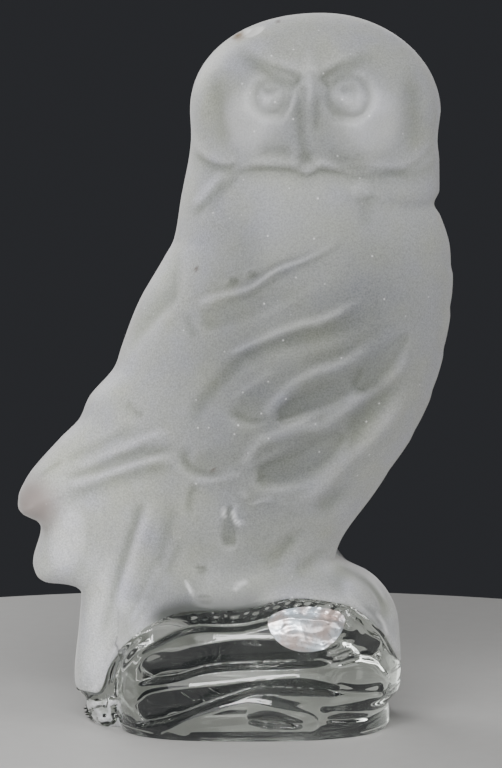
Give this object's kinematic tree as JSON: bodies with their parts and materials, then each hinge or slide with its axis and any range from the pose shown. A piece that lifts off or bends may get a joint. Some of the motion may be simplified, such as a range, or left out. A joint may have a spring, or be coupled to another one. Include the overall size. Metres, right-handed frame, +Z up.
{
  "type": "glass owl sculpture",
  "caption": "Solid crystal owl with a frosted body, folded wings and a long tail, perched on a clear rock base with a blank oval foil sticker",
  "frame": {"origin": "on the table, under the middle of the whole piece", "axes": "+Z up, the face looks to -Y, the breast points to +X and the tail hangs at -X"},
  "size_m": [0.1346, 0.0704, 0.22],
  "materials": {
    "crystal_glass": "acid-frosted figure on a polished clear rock, one casting",
    "silver_foil": "satin pearly foil, slightly creased"
  },
  "bodies": {
    "root": {"owl": "crystal_glass", "foil_sticker": "silver_foil"}
  },
  "joints": []
}
